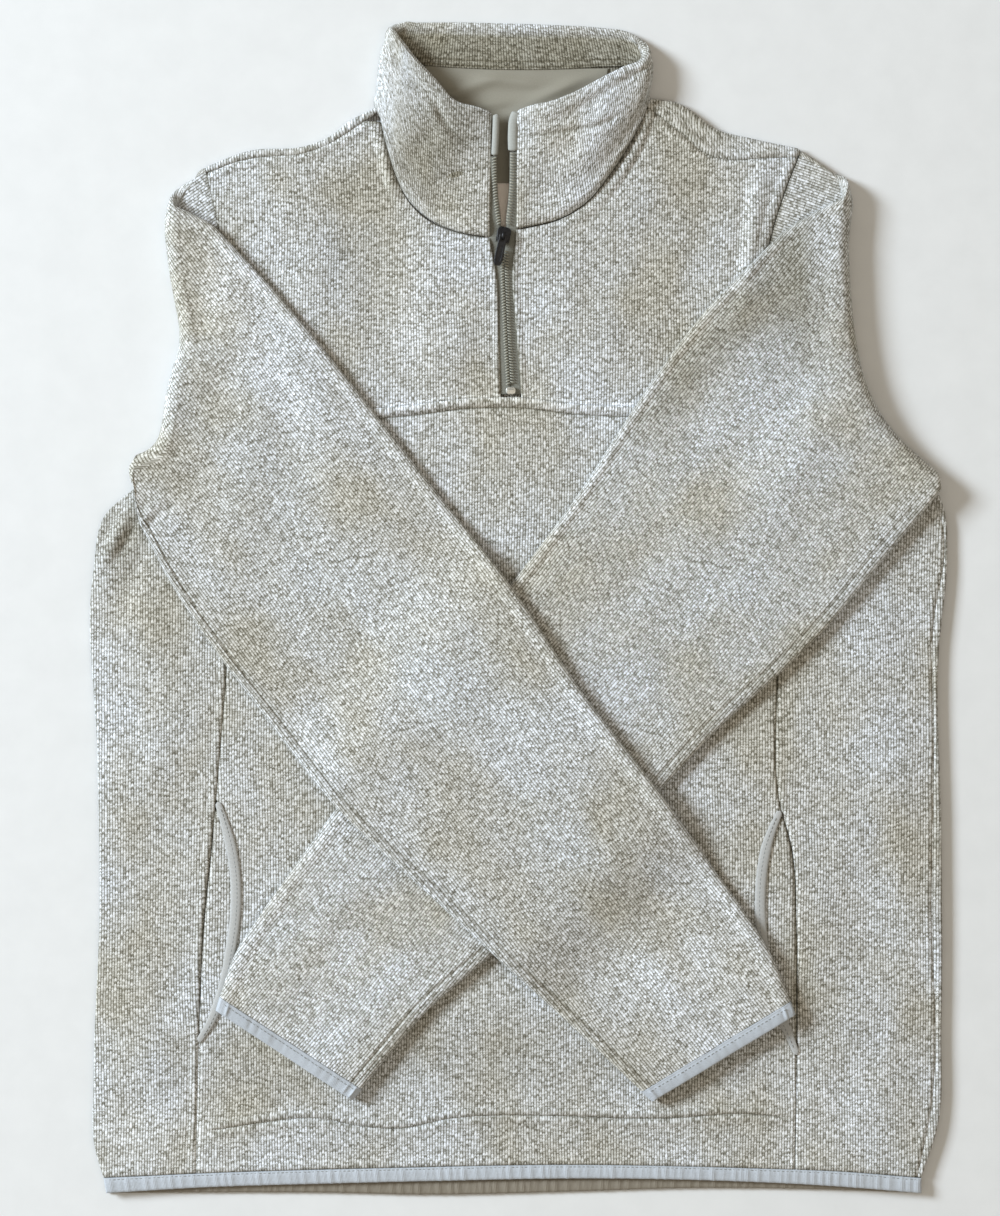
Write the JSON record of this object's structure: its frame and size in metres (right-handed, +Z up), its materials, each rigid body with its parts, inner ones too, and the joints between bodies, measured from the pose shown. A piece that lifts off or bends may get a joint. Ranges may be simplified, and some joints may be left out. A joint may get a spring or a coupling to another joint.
{
  "type": "half-zip pullover",
  "caption": "Knitted fleece pullover with a stand collar and a half zip, laid flat front up with both sleeves folded across the front.",
  "frame": {"origin": "on the surface that the garment lies on, under the middle of its bounding box", "axes": "+X across the garment towards the wearer's left, +Y from the hem to the collar, +Z up from the surface"},
  "size_m": [0.5836, 0.7972, 0.0244],
  "materials": {
    "heather_knit": "knitted fleece, light marled grey-green",
    "pale_grey_binding": "ribbed tape, soft sheen",
    "taupe_lining": "smooth woven",
    "blank_label": "smooth woven, blank",
    "olive_zip_tape": "woven tape",
    "olive_zip_coil": "satin nylon",
    "black_enamel": "semi-gloss enamel",
    "pale_stop": "satin"
  },
  "bodies": {
    "garment": {"back": "heather_knit", "centre_front": "heather_knit", "collar": "heather_knit", "collar_facing": "heather_knit", "cuff_binding_left": "pale_grey_binding", "cuff_binding_right": "pale_grey_binding", "hem_binding_back": "pale_grey_binding", "hem_binding_front": "pale_grey_binding", "neck_label": "blank_label", "neck_lining": "taupe_lining", "pocket_binding_left": "pale_grey_binding", "pocket_binding_right": "pale_grey_binding", "pocket_facing_left": "heather_knit", "pocket_facing_right": "heather_knit", "side_front_left": "heather_knit", "side_front_right": "heather_knit", "sleeve_left": "heather_knit", "sleeve_right": "heather_knit", "yoke_left": "heather_knit", "yoke_right": "heather_knit", "zip_chain": "olive_zip_coil", "zip_garage_left": "pale_grey_binding", "zip_garage_right": "pale_grey_binding", "zip_slider": "black_enamel", "zip_stop": "pale_stop", "zip_tape_left": "olive_zip_tape", "zip_tape_right": "olive_zip_tape", "zip_teeth_left": "olive_zip_coil", "zip_teeth_right": "olive_zip_coil"},
    "pull_tab": {"pull_tab": "black_enamel"}
  },
  "joints": [
    {"name": "tab_swing", "type": "hinge", "parent": "garment", "child": "pull_tab", "pos_m": [-0.01035, 0.2536, 0.01449], "axis": [-0.9781, 0.2079, 0], "range_deg": [0, 150]}
  ]
}
